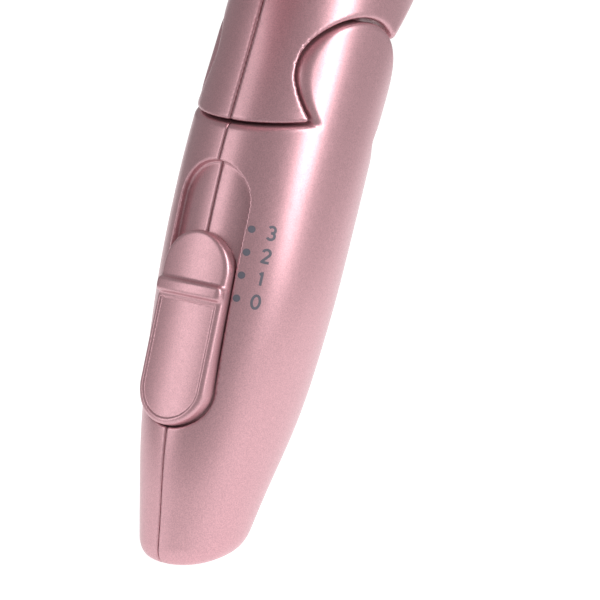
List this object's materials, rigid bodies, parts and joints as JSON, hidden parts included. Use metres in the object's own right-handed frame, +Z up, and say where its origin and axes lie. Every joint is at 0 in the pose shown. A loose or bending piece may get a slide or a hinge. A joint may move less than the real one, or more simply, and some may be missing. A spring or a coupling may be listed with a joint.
{
  "type": "hair dryer",
  "caption": "Folding hair dryer: tapered barrel on a short neck, handle with round hinge lugs and a four-position slide switch in a long recess, fan, motor and heater inside.",
  "frame": {"origin": "middle of the base of the dryer's box, at the level of the handle's end face", "axes": "+X the way the air leaves, +Z up, Y = 0 the parting plane of the shells"},
  "size_m": [0.1766, 0.0758, 0.2131],
  "materials": {
    "pearl_shell": "metallic pearl, satin",
    "rose_trim": "metallic rose, satin",
    "rose_knob": "metallic rose, satin",
    "dark_plastic": "matt moulded",
    "rubber": "matt",
    "white_plastic": "moulded",
    "steel": "plain",
    "mica": "flaky sheet",
    "heating_wire": "drawn wire",
    "board_green": "solder resist",
    "capacitor_film": "dipped film"
  },
  "bodies": {
    "dryer_body": {"body_shell_left": "pearl_shell", "body_shell_right": "pearl_shell", "body_screw_neck": "steel", "body_screw_front": "steel", "intake_grille": "rose_trim", "intake_filter": "dark_plastic", "fan_duct": "white_plastic", "motor": "steel", "heater_frame": "mica", "heater_coil": "heating_wire", "heater_sleeve": "mica", "thermal_cutout": "steel", "thermal_fuse": "white_plastic", "outlet_ring": "rose_trim", "outlet_grille": "dark_plastic", "hinge_axle": "steel", "hinge_washer_left": "steel", "hinge_washer_right": "steel"},
    "fan": {"fan_impeller": "dark_plastic", "motor_shaft": "steel"},
    "handle": {"handle_shell_left": "pearl_shell", "handle_shell_right": "pearl_shell", "switch_module": "dark_plastic", "circuit_board": "board_green", "capacitor": "capacitor_film", "diode": "dark_plastic", "cord_gland": "rubber", "handle_screw_upper": "steel", "handle_screw_lower": "steel"},
    "slider": {"switch_knob": "rose_knob", "slide_carrier": "white_plastic"}
  },
  "joints": [
    {"name": "handle_fold", "type": "hinge", "parent": "dryer_body", "child": "handle", "pos_m": [-0.017, 0, 0.10322], "axis": [0, -1, 0], "range_deg": [0, 90]},
    {"name": "switch_slide", "type": "slide", "parent": "handle", "child": "slider", "axis": [0.3256, 0, 0.9455], "range_m": [0, 0.0156]},
    {"name": "fan_spin", "type": "hinge", "parent": "dryer_body", "child": "fan", "pos_m": [-0.017, 0, 0.17522], "axis": [1, 0, 0], "continuous": true}
  ]
}
